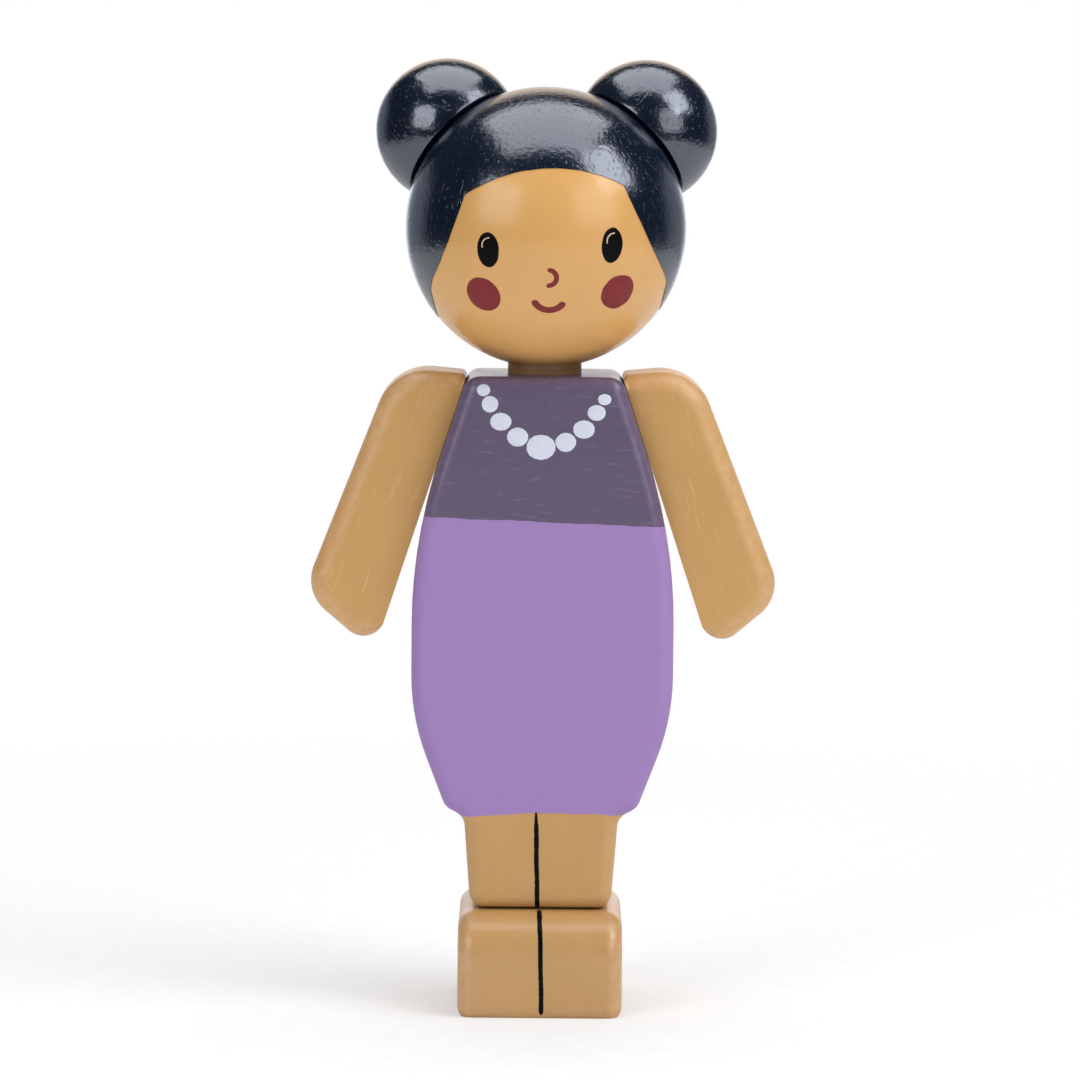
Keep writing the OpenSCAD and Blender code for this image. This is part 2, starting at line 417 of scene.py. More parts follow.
@dataclass(frozen=True)
class BareWood(Finish):
    """Unpainted beech of the pegs and plugs, with rings and pores along the dowel."""

    name: str = "bare_beech"
    light: Colour = chip(222, 190, 145)
    dark: Colour = chip(186, 146, 100)
    grain: Grain = Grain(pit_across=4000.0, pit_along=600.0, pit_threshold=0.6,
                         streak_across=1800.0, streak_along=150.0)
    roughness: tuple[float, float] = (0.6, 0.75)
    ring_band: tuple[float, float] = (0.35, 0.7)
    pit_share: float = 0.5
    relief: float = 0.05 * MM

    def draw(self, sheet: NodeSheet) -> None:
        """Draws the wood's nodes.

        Args:
            sheet: The material's empty sheet.
        """
        place = sheet.place()
        pits, streak = self.grain.pits(sheet, place), self.grain.streaks(sheet, place)
        colour = sheet.mix(sheet.ramp(streak, *self.ring_band), self.light, self.dark)
        colour = sheet.mix(sheet.math("MULTIPLY", pits, self.pit_share), colour, self.dark)
        rough = sheet.ramp(pits, 0.0, 1.0, *self.roughness)
        sheet.coat({"Base Color": colour, "Roughness": rough}, streak, self.relief)


@dataclass(frozen=True)
class BraidedElastic(Finish):
    """Round braided elastic: two crossing sets of yarns over a rubber core."""

    name: str = "braided_elastic"
    light: Colour = chip(240, 237, 228)
    dark: Colour = chip(200, 194, 180)
    yarn_pitch: float = 2600.0
    yarn_lean: float = 45.0
    yarn_bend: float = 0.6
    roughness: tuple[float, float] = (0.9, 0.75)
    relief: float = 0.08 * MM

    def draw(self, sheet: NodeSheet) -> None:
        """Draws the elastic's nodes.

        Args:
            sheet: The material's empty sheet.
        """
        place = sheet.place()
        yarns = []
        for lean in (self.yarn_lean, -self.yarn_lean):
            turn = (0.0, math.radians(lean), 0.0)
            turned = sheet.add("ShaderNodeMapping", {"Vector": place, "Rotation": turn}).outputs[0]
            yarn = {"Vector": turned, "Scale": self.yarn_pitch / (2 * math.pi), "Distortion": self.yarn_bend}
            yarns.append(sheet.add("ShaderNodeTexWave", yarn).outputs["Fac"])
        braid = sheet.math("MAXIMUM", *yarns)
        colour = sheet.mix(braid, self.dark, self.light)
        rough = sheet.ramp(braid, 0.0, 1.0, *self.roughness)
        sheet.coat({"Base Color": colour, "Roughness": rough}, braid, self.relief)


@dataclass(frozen=True)
class FloorPaper(Finish):
    """The floor's pale paper, which the camera sees fade to white away from the doll."""

    name: str = "floor_paper"
    tones: tuple[Colour, Colour] = (chip(240, 240, 241), chip(243, 243, 243))
    fibre_pitch: float = 300.0
    roughness: float = 0.9
    gloss: float = 0.1
    fade: tuple[float, float] = (0.04, 0.25)
    lift: float = 0.35

    def draw(self, sheet: NodeSheet) -> None:
        """Draws the paper's nodes.

        Args:
            sheet: The material's empty sheet.
        """
        place = sheet.place()
        fibre = sheet.effect(EFFECTS.mottle, {"Vector": place, "Scale": self.fibre_pitch})
        paper = sheet.add("ShaderNodeBsdfPrincipled", {
            "Base Color": sheet.mix(fibre, *self.tones), "Roughness": self.roughness,
            "Specular IOR Level": self.gloss,
        })
        away = sheet.add("ShaderNodeVectorMath", {0: place}, operation="LENGTH").outputs["Value"]
        far = sheet.ramp(away, *self.fade, self.lift)
        seen = sheet.add("ShaderNodeLightPath").outputs["Is Camera Ray"]
        white = sheet.add("ShaderNodeEmission", {"Color": (1.0, 1.0, 1.0), "Strength": 1.0})
        share = sheet.math("MULTIPLY", far, seen)
        both = sheet.add("ShaderNodeMixShader", {0: share, 1: paper.outputs[0], 2: white.outputs[0]})
        sheet.set(sheet.add("ShaderNodeOutputMaterial").inputs["Surface"], both.outputs[0])


# Forms


@dataclass(frozen=True)
class Corner:
    """A corner of a board's outline: its radius and the share of its shorter side to round."""

    x: float
    y: float
    radius: float = 0.0
    room: float = 0.5


class Form:
    """A mesh under work, with the operators that the doll's pieces share."""

    ARC_STEP = math.radians(3.0)
    CUT_SLACK = 1e-9
    WELD = 1e-8
    EDGE_BANDS = 8
    EASE_BANDS = 3
    SHARP_TURN = math.radians(30.0)

    def __init__(self) -> None:
        """Starts an empty mesh."""
        self.bm: BMesh = bmesh.new()
        self.rub_and_sheen = self.bm.verts.layers.float.new(EDGE_WEAR_SHEEN_LAYER)
        self.rim = self.bm.verts.layers.int.new("rim")

    def ball(self, radius: float, across: int, down: int) -> None:
        """Adds a ball round the origin, with facets round it and from pole to pole."""
        bmesh.ops.create_uvsphere(self.bm, u_segments=across, v_segments=down, radius=radius)

    def outline(self, corners: Sequence[Corner]) -> BMFace:
        """Draws a board's outline on XY, each corner spun to its radius, and fills it.

        Args:
            corners: The corners, anticlockwise.

        Returns:
            The filled face.
        """
        count = len(corners)
        places = [Vector((c.x, c.y, 0.0)) for c in corners]
        ends: list[tuple[BMVert, BMVert]] = []
        for i, corner in enumerate(corners):
            at = places[i]
            back, on = places[i - 1] - at, places[(i + 1) % count] - at
            if corner.radius <= 0.0:
                vert = self.bm.verts.new(at)
                ends.append((vert, vert))
                continue
            half = back.angle(on) / 2
            reach = min(corner.radius / math.tan(half), corner.room * min(back.length, on.length))
            radius = reach * math.tan(half)
            back.normalize()
            on.normalize()
            centre = at + (back + on).normalized() * radius / math.sin(half)
            turn = math.copysign(math.pi - 2 * half, on.cross(back).z)
            vert = self.bm.verts.new(at + back * reach)
            spun = bmesh.ops.spin(
                self.bm, geom=[vert], cent=centre, axis=(0, 0, 1), angle=turn,
                steps=max(4, math.ceil(abs(turn) / self.ARC_STEP)), use_merge=False, use_duplicate=False,
            )
            ends.append((vert, next(g for g in spun["geom_last"] if isinstance(g, BMVert))))
        for i in range(count):
            self.bm.edges.new((ends[i - 1][1], ends[i][0]))
        filled = bmesh.ops.edgeloop_fill(self.bm, edges=self.bm.edges[:])
        return filled["faces"][0]

    def board(self, corners: Sequence[Corner], thickness: float, edge_r: float,
              flat_side: bool = False) -> None:
        """Makes a board with rounded edges, flat on XY and centred on Z.

        Args:
            corners: Its outline, anticlockwise.
            thickness: Its thickness.
            edge_r: Radius of its rounded edges.
            flat_side: Whether the side at the lowest X keeps sharp edges.
        """
        face = self.outline(corners)
        face.normal_update()
        if face.normal.z < 0:
            face.normal_flip()
        loop = [v.co.copy() for v in face.verts]
        rim: list[tuple[Vector, Vector]] = []
        for i, at in enumerate(loop):
            before = (at - loop[i - 1]).normalized()
            after = (loop[(i + 1) % len(loop)] - at).normalized()
            way = (before + after).normalized()
            normal = Vector((way.y, -way.x, 0.0)) / way.dot(before)
            if flat_side and before.angle(after) > self.SHARP_TURN:
                normal = Vector((0.0, -1.0 / before.x, 0.0))
            elif flat_side:
                normal.x = max(normal.x, 0.0)
            rim.append((at, normal))
        for i, vert in enumerate(face.verts):
            vert[self.rim] = i
        angles = [math.pi / 2 * k / self.EDGE_BANDS for k in range(self.EDGE_BANDS + 1)]
        rings = [(a, -1) for a in angles] + [(a, 1) for a in reversed(angles)]
        for number, (angle, end) in enumerate(rings):
            if number:
                face = self.grow(face, keep=number == 1)
            inset = edge_r * (1 - math.sin(angle))
            height = end * (thickness / 2 - edge_r * (1 - math.cos(angle)))
            for vert in face.verts:
                at, normal = rim[vert[self.rim]]
                vert.co = at - normal * inset + Vector((0.0, 0.0, height))
                # Mask of the rounded edges, which carry worn paint and painted sheen.
                vert[self.rub_and_sheen] = math.sin(2 * angle)

    def grow(self, face: BMFace, keep: bool = False) -> BMFace:
        """Extrudes one face on the spot.

        Args:
            face: The face.
            keep: Whether it stays behind as the other end.

        Returns:
            The new face.
        """
        grown = bmesh.ops.extrude_face_region(self.bm, geom=[face])
        if not keep and face.is_valid:
            self.bm.faces.remove(face)
        return next(g for g in grown["geom"] if isinstance(g, BMFace))

    def cut(self, point: Vector, normal: Vector, faces: Optional[Iterable[BMFace]] = None,
            clear: bool = False) -> list:
        """Cuts along a plane, and may take away what lies beyond it and close the cut.

        Args:
            point: A point of the plane.
            normal: Its normal, towards what is taken away.
            faces: The faces to cut, or all of them.
            clear: Whether the far side goes and the cut is filled flat.

        Returns:
            The edges of the cut.
        """
        if faces is None:
            geom = self.bm.verts[:] + self.bm.edges[:] + self.bm.faces[:]
        else:
            chosen = list(faces)
            edges = {e for f in chosen for e in f.edges}
            verts = {v for f in chosen for v in f.verts}
            geom = list(verts) + list(edges) + chosen
        done = bmesh.ops.bisect_plane(
            self.bm, geom=geom, dist=self.CUT_SLACK, plane_co=point, plane_no=normal, clear_outer=clear,
        )
        edges = [g for g in done["geom_cut"] if isinstance(g, bmesh.types.BMEdge)]
        if clear:
            bmesh.ops.edgeloop_fill(self.bm, edges=[e for e in edges if e.is_boundary])
        return edges

    def soften(self, edges: Iterable, width: float) -> None:
        """Rounds a chain of edges.

        Args:
            edges: The edges.
            width: Width of the rounding.
        """
        bmesh.ops.bevel(
            self.bm, geom=list(edges), offset=width, offset_type="OFFSET", affect="EDGES",
            segments=self.EASE_BANDS, profile=0.5, material=-1, clamp_overlap=True,
        )

    def half(self, side: Side) -> list[BMFace]:
        """Gives the faces on one side of the middle."""
        return [f for f in self.bm.faces if f.calc_center_median().x * side.value > 0]

    def place(self, matrix: Matrix) -> None:
        """Moves the whole mesh."""
        bmesh.ops.transform(self.bm, matrix=matrix, verts=self.bm.verts[:])

    def surface(self) -> BVHTree:
        """Gives the surface that paint marks are pressed onto."""
        self.bm.normal_update()
        return BVHTree.FromBMesh(self.bm)

    def piece(self, name: str, finishes: Sequence[Finish], sharp: float = 35.0,
              weighted: bool = False) -> bpy.types.Object:
        """Closes the work and makes the object.

        Args:
            name: Name of the piece.
            finishes: Its finishes, one for each material number.
            sharp: Angle in degrees above which an edge shows as a crease.
            weighted: Whether flat faces keep flat shading beside their rounded edges.

        Returns:
            The finished object at the origin.
        """
        bmesh.ops.remove_doubles(self.bm, verts=self.bm.verts[:], dist=self.WELD)
        bmesh.ops.recalc_face_normals(self.bm, faces=self.bm.faces[:])
        for face in self.bm.faces:
            face.smooth = True
        self.bm.verts.layers.int.remove(self.rim)
        mesh = bpy.data.meshes.new(name)
        self.bm.to_mesh(mesh)
        self.bm.free()
        mesh.set_sharp_from_angle(angle=math.radians(sharp))
        for finish in finishes:
            mesh.materials.append(finish.material())
        made = set_up(name, mesh)
        if weighted:
            made.modifiers.new("flat_faces", "WEIGHTED_NORMAL").keep_sharp = True
        return made


def hand_in(made: bpy.types.Object, body: str, slot: str, *nodes: str) -> None:
    """Rides a finished piece on its body and logs it.

    Args:
        made: The piece.
        body: The body that carries it.
        slot: Not used.
        *nodes: CAD nodes that it stands for.
    """
    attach(made, body)
    if nodes:
        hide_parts(*nodes)
    LOG.info("%s rides on %s with %d faces", made.name, body, len(made.data.polygons))


# Paint marks


@dataclass(frozen=True)
class Stand:
    """Where a mark is pressed on: a point, the drawing's two directions and the way out."""

    origin: Vector
    right: Vector
    up: Vector
    out: Vector

    @classmethod
    def on_ball(cls, centre: Vector, azimuth: float, elevation: float) -> "Stand":
        """Stands on a ball at an angle from its front.

        Args:
            centre: Centre of the ball.
            azimuth: Degrees from straight ahead towards the doll's left.
            elevation: Degrees above level.

        Returns:
            The stand.
        """
        out = aim(azimuth, elevation)
        right = Vector((-out.y, out.x, 0.0)).normalized()
        return cls(centre, right, out.cross(right), out)

    @classmethod
    def leaning(cls, origin: Vector, lean: float) -> "Stand":
        """Stands in front of the doll, looking down by a lean in degrees."""
        out, right = aim(0.0, lean), Vector((1.0, 0.0, 0.0))
        return cls(origin, right, out.cross(right), out)


def aim(azimuth: float, elevation: float) -> Vector:
    """Gives the way at degrees from straight ahead to the doll's left and degrees above level."""
    turn, rise = math.radians(azimuth), math.radians(elevation)
    return Vector((math.cos(rise) * math.sin(turn), -math.cos(rise) * math.cos(turn), math.sin(rise)))


@dataclass(frozen=True, kw_only=True)
class BrushStroke:
    """A stroke with round ends: half its width, its run, and how its brush tapers and strays."""

    LEAST_CAP = 0.02
    TAPER_RUNS = 5
    STRAY_PITCH = 0.3 * MM

    half: float
    run: float
    taper: float = 0.0
    unrest: float = 0.0
    steps: int = 40

    def path(self, share: float) -> Vector:
        """Gives the place on the drawing at a share of the stroke."""
        raise NotImplementedError

    def width(self, share: float) -> float:
        """Gives half the width at a share of the stroke.

        Args:
            share: Share of the stroke.

        Returns:
            Half the width, which rounds off at the ends.
        """
        to_end = min(share, 1 - share) * self.run
        cap = 1.0 if to_end >= self.half else math.sqrt(max(0.0, 1 - (1 - to_end / self.half) ** 2))
        stray = 1 + self.unrest * noise.noise((share * self.run / self.STRAY_PITCH, self.half / MM, 0.0))
        thin = 1 - self.taper * max(0.0, 1 - share * self.TAPER_RUNS)
        return self.half * max(cap, self.LEAST_CAP) * stray * thin


@dataclass(frozen=True, kw_only=True)
class ArcStroke(BrushStroke):
    """A stroke along an arc: its centre, radius, and first and last angle in degrees."""

    x: float
    y: float
    radius: float
    start: float
    end: float

    def path(self, share: float) -> Vector:
        """Gives the place on the drawing at a share of the arc."""
        angle = math.radians(self.start + (self.end - self.start) * share)
        return Vector((self.x + self.radius * math.cos(angle), self.y + self.radius * math.sin(angle)))


@dataclass(frozen=True, kw_only=True)
class LineStroke(BrushStroke):
    """A hand-drawn upright line: its two ends, how far the hand sways and the start of the sway."""

    SWAYS = 3.0

    start: tuple[float, float]
    end: tuple[float, float]
    sway: float
    seed: float

    def path(self, share: float) -> Vector:
        """Gives the place on the drawing at a share of the line."""
        spot = Vector(self.start).lerp(Vector(self.end), share)
        return spot + Vector((self.sway * noise.noise((share * self.SWAYS, self.seed, 0.0)), 0.0))


@dataclass
class PaintMark:
    """A film of paint, drawn flat and pressed onto its carrier: its stand, the carrier, its height."""

    SUNK = 0.06 * MM
    REACH = 40 * MM
    DOME = 6
    RINGS = 12
    LANES = 6
    STEP = 0.002
    SHARP = 60.0

    stand: Stand
    surface: BVHTree
    film: float = 0.05 * MM
    form: Form = field(default_factory=Form)

    def press(self) -> None:
        """Lays the flat drawing, with heights along Z, onto the carrier."""
        stand = self.stand
        for vert in self.form.bm.verts:
            start = stand.origin + stand.right * vert.co.x + stand.up * vert.co.y + stand.out * self.REACH
            spot, normal, _, _ = self.surface.ray_cast(start, -stand.out)
            vert.co = spot + normal * vert.co.z

    def dot(self, wide: float, high: float, sides: int, unrest: float, seed: float) -> "PaintMark":
        """Draws a filled dot with a domed top.

        Args:
            wide: Half its width.
            high: Half its height.
            sides: Sides of its outline.
            unrest: How far a hand strays from the oval, as a share.
            seed: Start of the hand's unrest.

        Returns:
            The mark itself.
        """
        self.form.ball(1.0, sides, self.RINGS)
        for vert in self.form.bm.verts:
            flat = min(1.0, math.hypot(vert.co.x, vert.co.y))
            angle = math.atan2(vert.co.y, vert.co.x)
            stray = 1 + unrest * noise.noise((2 * math.cos(angle), 2 * math.sin(angle), seed))
            height = (self.film if vert.co.z >= -1e-6 else -self.SUNK) * (1 - flat ** self.DOME)
            vert.co = Vector((vert.co.x * wide * stray, vert.co.y * high * stray, height))
        self.press()
        return self

    def stroke(self, brush: BrushStroke) -> "PaintMark":
        """Draws a brush stroke along its path.

        Args:
            brush: The stroke.

        Returns:
            The mark itself.
        """
        bm = self.form.bm
        bmesh.ops.create_grid(bm, x_segments=brush.steps, y_segments=self.LANES, size=1.0)
        grown = bmesh.ops.extrude_face_region(bm, geom=bm.faces[:])
        top = {g for g in grown["geom"] if isinstance(g, BMVert)}
        for vert in bm.verts:
            share = (vert.co.x + 1) / 2
            across = vert.co.y
            ahead = brush.path(min(1.0, share + self.STEP)) - brush.path(max(0.0, share - self.STEP))
            aside = Vector((-ahead.y, ahead.x)).normalized()
            spot = brush.path(share) + aside * across * brush.width(share)
            height = self.film * (1 - across ** self.DOME) if vert in top else -self.SUNK
            vert.co = Vector((spot.x, spot.y, height))
        self.press()
        return self

    def piece(self, name: str, finish: PaintFinish, body: str, slot: str) -> None:
        """Makes the mark a piece of its own on its carrier's body."""
        hand_in(self.form.piece(name, [finish], sharp=self.SHARP), body, slot)


# Shared sizes and paints

HEAD_HEIGHT = 97.167 * MM
BUN_SEAT = 15.811 * MM
FOOT_TOP = 12.7 * MM
BUN_ELEVATION = 43.5
BUN_LEAN = 22.0
SHOULDER_SLOPE = 18.2


def bun_turn(side: Side) -> Matrix:
    """Turns +Z to the axis of one side's bun."""
    return rotation(side.value * (90 - BUN_ELEVATION), "Y") @ rotation(-BUN_LEAN, "X")


def grain_to(matrix: Matrix) -> tuple[float, float, float]:
    """Gives the Mapping turn that lays a pattern's Z along a turned piece's own Z."""
    return tuple(matrix.to_3x3().transposed().to_euler("XYZ"))


def hair_paint(name: str, turn: Matrix) -> PaintFinish:
    """Gives the glossy blue-black hair paint with its pores along one grain.

    Args:
        name: Name of the finish.
        turn: Turn of the grain away from upright.

    Returns:
        The finish.
    """
    return PaintFinish(
        name=name, colour=chip(9, 20, 37), shade=chip(6, 16, 33), pit_colour=chip(4, 8, 15),
        worn_colour=chip(30, 42, 56), roughness=0.14, gloss=1.0, gloss_tint=(0.81, 0.87, 1.0), bend=1.62,
        grain=Grain(turn=grain_to(turn), pit_across=2600.0, pit_along=800.0, pit_threshold=0.64,
                    streak_across=1400.0, streak_along=260.0),
        bump_depth=0.02 * MM, pit_bump=0.8, streak_bump=0.8, peel_bump=0.6, peel_pitch=1500.0,
        mottle_share=0.6, streak_share=0.2, pit_share=0.5,
    )


def skin_paint(name: str, colour: Colour, shade: Colour, turn: Matrix, **changes: Any) -> PaintFinish:
    """Gives a satin skin paint.

    Args:
        name: Name of the finish.
        colour: Its main colour.
        shade: Colour of its thinner places.
        turn: Turn of the grain away from upright.
        **changes: Other fields of the finish.

    Returns:
        The finish.
    """
    settings: dict[str, Any] = dict(
        pit_colour=chip(150, 110, 66), worn_colour=chip(212, 168, 122), roughness=0.4,
        grain=Grain(turn=grain_to(turn), pit_across=3600.0, pit_along=1200.0, pit_threshold=0.68),
        bump_depth=0.02 * MM, pit_bump=0.5, streak_bump=0.15,
    )
    settings.update(changes)
    return PaintFinish(name=name, colour=colour, shade=shade, **settings)


UPRIGHT = Matrix.Identity(4)
LEVEL = rotation(90, "Y")

FACE_SKIN = skin_paint("face_skin_paint", chip(220, 169, 102), chip(208, 157, 92), UPRIGHT,
                       pit_share=0.03, roughness=0.2, mottle_share=0.3, pit_bump=0.1, streak_bump=0.2,
                       peel_bump=0.22, peel_pitch=1900.0)
LEG_SKIN = skin_paint("leg_skin_paint", chip(196, 153, 94), chip(187, 145, 88), UPRIGHT, pit_share=0.2)
# The foot's strong edge lightening is partly painted sheen on its rounded edges.
FOOT_SKIN = skin_paint("foot_skin_paint", chip(195, 151, 95), chip(185, 143, 90), LEVEL, pit_share=0.2,
                       roughness=0.3, gloss=0.7, worn_share=0.7)
# Painted shade: the neck's paint is darkened to stand for the shade under the head.
NECK_SHADED_SKIN = skin_paint("neck_shaded_skin_paint", chip(152, 112, 70), chip(138, 98, 60), UPRIGHT)
# Painted shade: the arm's flat inner side, which faces the body, is painted darker.
ARM_INNER_SHADE = skin_paint("arm_inner_shade_paint", chip(164, 126, 80), chip(150, 114, 72), UPRIGHT, roughness=0.5)
# Dark paint under the legs at the foot: a dark glue joint and painted shade in the crease.
SEAM_SHADE = skin_paint("leg_seam_shade_paint", chip(44, 30, 20), chip(34, 22, 14), LEVEL, roughness=0.6, gloss=0.2)
# The bodice's lighter purple edges are painted sheen on the roundovers as well as wear.
BODICE = PaintFinish(
    name="bodice_paint", colour=chip(97, 87, 111), shade=chip(91, 80, 104), pit_colour=chip(122, 112, 140),
    worn_colour=chip(124, 102, 138), roughness=0.28,
    grain=Grain(turn=grain_to(LEVEL), pit_across=2300.0, pit_along=420.0, pit_threshold=0.64,
                streak_across=1200.0, streak_along=120.0),
    pit_share=0.35, worn_share=0.5, bump_depth=0.03 * MM,
)
DRESS = PaintFinish(
    name="dress_paint", colour=chip(160, 127, 190), shade=chip(155, 122, 185), pit_colour=chip(172, 142, 198),
    worn_colour=chip(164, 134, 192), roughness=0.44,
    grain=Grain(turn=grain_to(LEVEL), pit_across=2300.0, pit_along=500.0, pit_threshold=0.7),
    pit_share=0.2, worn_share=0.2, bump_depth=0.02 * MM,
)


def mark_paint(name: str, colour: Colour, shade: Colour, roughness: float = 0.4,
               gloss: float = 0.5) -> PaintFinish:
    """Gives the paint of a small brush mark.

    Args:
        name: Name of the finish.
        colour: Its main colour.
        shade: Colour of its thinner places.
        roughness: Its roughness.
        gloss: Strength of its reflections.

    Returns:
        The finish.
    """
    return PaintFinish(
        name=name, colour=colour, shade=shade, pit_colour=shade, worn_colour=colour,
        roughness=roughness, mottle_pitch=900.0, bump_depth=0.015 * MM, pit_share=0.2, gloss=gloss,
    )


BLACK_MARK = mark_paint("black_mark_paint", chip(3, 4, 7), chip(7, 7, 8), 0.3, 0.08)
ROSE_MARK = mark_paint("rose_mark_paint", chip(131, 44, 46), chip(122, 38, 40), 0.4, 0.2)
# The eye glint is a printed crescent, whitened as a painted highlight.
GLINT_MARK = mark_paint("glint_mark_paint", chip(226, 202, 164), chip(190, 150, 104))
PEARL_MARK = mark_paint("pearl_mark_paint", chip(217, 220, 236), chip(208, 211, 227))

# Head


@dataclass
class Head:
    """The turned ball head with its painted hair and face."""

    radius: float = 17.5 * MM
    height: float = HEAD_HEIGHT
    bun_seat: float = BUN_SEAT
    facets: tuple[int, int] = (192, 112)
    neck_bore: float = 4.65 * MM
    bore_depth: float = 12.2 * MM
    hair_film: float = 0.09 * MM
    film_ease: float = 0.006 * MM
    film_root: float = 0.16 * MM
    cut_reach: float = 0.9
    wander: float = 0.07 * MM
    wander_seed: int = 1
    wander_pitch: float = 2.2 * MM
    fine_pitch: float = 0.8 * MM
    fine_share: float = 0.6
    nape: float = -41.0
    face_middle: tuple[float, float] = (0.0, -20.0)
    brow: tuple = ((-36.0, 14.8), (-1.2, 26.6), (35.0, 19.4))
    right_temple: tuple = ((-36.0, 14.8), (-42.0, -1.7), (-58.0, -20.3), (-63.7, -25.2), (-81.2, -39.3))
    left_temple: tuple = ((35.0, 19.4), (42.2, 3.0), (60.6, -16.7), (66.6, -20.9), (81.7, -34.3))
    eyes: tuple = ((Side.RIGHT, -24.0, -6.9), (Side.LEFT, 27.7, -4.7))
    eye_wide: float = 1.45 * MM
    eye_high: float = 2.16 * MM
    cheeks: tuple = ((Side.RIGHT, -29.1, -26.1), (Side.LEFT, 34.0, -24.6))
    cheek_r: float = 2.31 * MM
    oval_sides: int = 64
    oval_unrest: float = 0.03
    glint_film: float = 0.09 * MM
    glint: ArcStroke = ArcStroke(
        x=0.2 * MM, y=0.52 * MM, radius=0.96 * MM, start=84.0, end=198.0,
        half=0.1 * MM, run=1.9 * MM, taper=0.3, unrest=0.2)
    nose_spot: tuple[float, float] = (1.0, -18.0)
    nose: ArcStroke = ArcStroke(
        x=0.04 * MM, y=-0.02 * MM, radius=1.01 * MM, start=98.0, end=-104.0,
        half=0.31 * MM, run=3.6 * MM, taper=0.15, steps=32)
    mouth_spot: tuple[float, float] = (2.0, -30.0)
    mouth: ArcStroke = ArcStroke(
        x=-0.06 * MM, y=1.16 * MM, radius=1.98 * MM, start=197.0, end=335.0,
        half=0.45 * MM, run=4.8 * MM)

    @property
    def centre(self) -> Vector:
        """Centre of the ball."""
        return UP * self.height

    def temple(self, side: Side) -> tuple:
        """Gives the points of the hairline down one side of the face."""
        return self.left_temple if side is Side.LEFT else self.right_temple

    def hair_planes(self, side: Side) -> list[Plane]:
        """Gives the planes that cut one side's hairline on a ball round the origin.

        Args:
            side: The side.

        Returns:
            A point on each plane and its normal towards the skin: brow, temple, ear and jaw.
        """
        brow = [aim(*angles) * self.radius for angles in self.brow]
        edge = [aim(*angles) * self.radius for angles in self.temple(side)]
        back = Vector((0.0, 1.0, 0.0))
        runs = (
            (brow[1], brow[2] - brow[1], brow[1] - brow[0]),
            (edge[1], edge[2] - edge[1], edge[1] - edge[0]),
            (edge[3], edge[3] - edge[2], back),
            (edge[4], edge[4] - edge[3], back),
        )
        planes = []
        for point, along, across in runs:
            normal = along.cross(across).normalized()
            faces_skin = normal.dot(aim(*self.face_middle) * self.radius - point) > 0
            planes.append((point, normal if faces_skin else -normal))
        return planes

    def nape_plane(self) -> Plane:
        """Gives the plane of the hair's lower edge behind, from one jaw line's end to the other's.

        Returns:
            A point on the plane and its normal towards the skin.
        """
        ends = []
        for side in Side:
            upper, lower = (aim(*angles) * self.radius for angles in self.temple(side)[3:])
            upper.y = lower.y = 0.0
            run = (lower - upper).normalized()
            foot = lower - run * lower.dot(run)
            ends.append(foot + run * math.sqrt(self.radius ** 2 - foot.length_squared))
        behind = aim(180.0, self.nape) * self.radius
        normal = (ends[0] - behind).cross(ends[1] - behind).normalized()
        return behind, normal if normal.z < 0 else -normal

    def is_skin(self, spot: Vector, planes: dict[Side, list[Plane]], nape: Plane) -> bool:
        """Says whether a place on the ball is bare of hair.

        Args:
            spot: The place, from the ball's centre.
            planes: The hairline's planes on each side.
            nape: The plane of the hair's lower edge behind.

        Returns:
            True on the face, the chin and the nape below the hair.
        """
        if spot.y > 0:
            return nape[1].dot(spot - nape[0]) > 0
        side = Side.LEFT if spot.x > 0 else Side.RIGHT
        brow, temple, ear, jaw = (normal.dot(spot - point) > 0 for point, normal in planes[side])
        return brow and temple if spot.z > aim(*self.temple(side)[2]).z * self.radius else ear and jaw

    def turned_ball(self, shrink: float) -> Form:
        """Turns a ball with the two flats for the buns.

        Args:
            shrink: How much smaller than the finished head it is.

        Returns:
            The ball round the origin.
        """
        form = Form()
        form.ball(self.radius - shrink, *self.facets)
        for side in Side:
            axis = bun_turn(side).to_3x3() @ UP
            form.cut(axis * (self.bun_seat - shrink), axis, clear=True)
        return form

    def build_ball(self) -> Form:
        """Makes the painted ball with its bore for the neck.

        Returns:
            The ball in its place.
        """
        form = self.turned_ball(self.hair_film)
        bare = self.radius - self.hair_film
        low = -math.sqrt(bare ** 2 - self.neck_bore ** 2)
        form.cut(UP * low, DOWN, clear=True)
        mouth = form.grow(min(form.bm.faces, key=lambda f: f.calc_center_median().z))
        bmesh.ops.translate(form.bm, vec=UP * self.bore_depth, verts=mouth.verts[:])
        form.place(Matrix.Translation(self.centre))
        return form

    def build_hair(self) -> Form:
        """Makes the film of hair paint, cut along the hairline.

        Returns:
            The film in its place.
        """
        form = self.turned_ball(self.film_ease)
        bm = form.bm
        planes = {side: self.hair_planes(side) for side in Side}
        reach = self.cut_reach * self.radius
        for side in Side:
            for point, normal in planes[side]:
                near = [f for f in form.half(side) if (f.calc_center_median() - point).length < reach]
                form.cut(point, normal, near)
        nape = self.nape_plane()
        form.cut(*nape, [f for f in bm.faces if f.calc_center_median().y > 0])
        bare = [f for f in bm.faces if self.is_skin(f.calc_center_median(), planes, nape)]
        bmesh.ops.delete(bm, geom=bare, context="FACES")
        noise.seed_set(self.wander_seed)
        for vert in bm.verts:
            if vert.is_boundary:
                stray = noise.noise_vector(vert.co / self.wander_pitch)
                stray += self.fine_share * noise.noise_vector(vert.co / self.fine_pitch)
                vert.co = (vert.co + stray * self.wander).normalized() * vert.co.length
        bmesh.ops.recalc_face_normals(bm, faces=bm.faces[:])
        grown = bmesh.ops.extrude_face_region(bm, geom=bm.faces[:])
        under = [g for g in grown["geom"] if isinstance(g, BMVert)]
        bmesh.ops.scale(bm, vec=Vector((1, 1, 1)) * (1 - self.film_root / self.radius), verts=under)
        form.place(Matrix.Translation(self.centre))
        return form

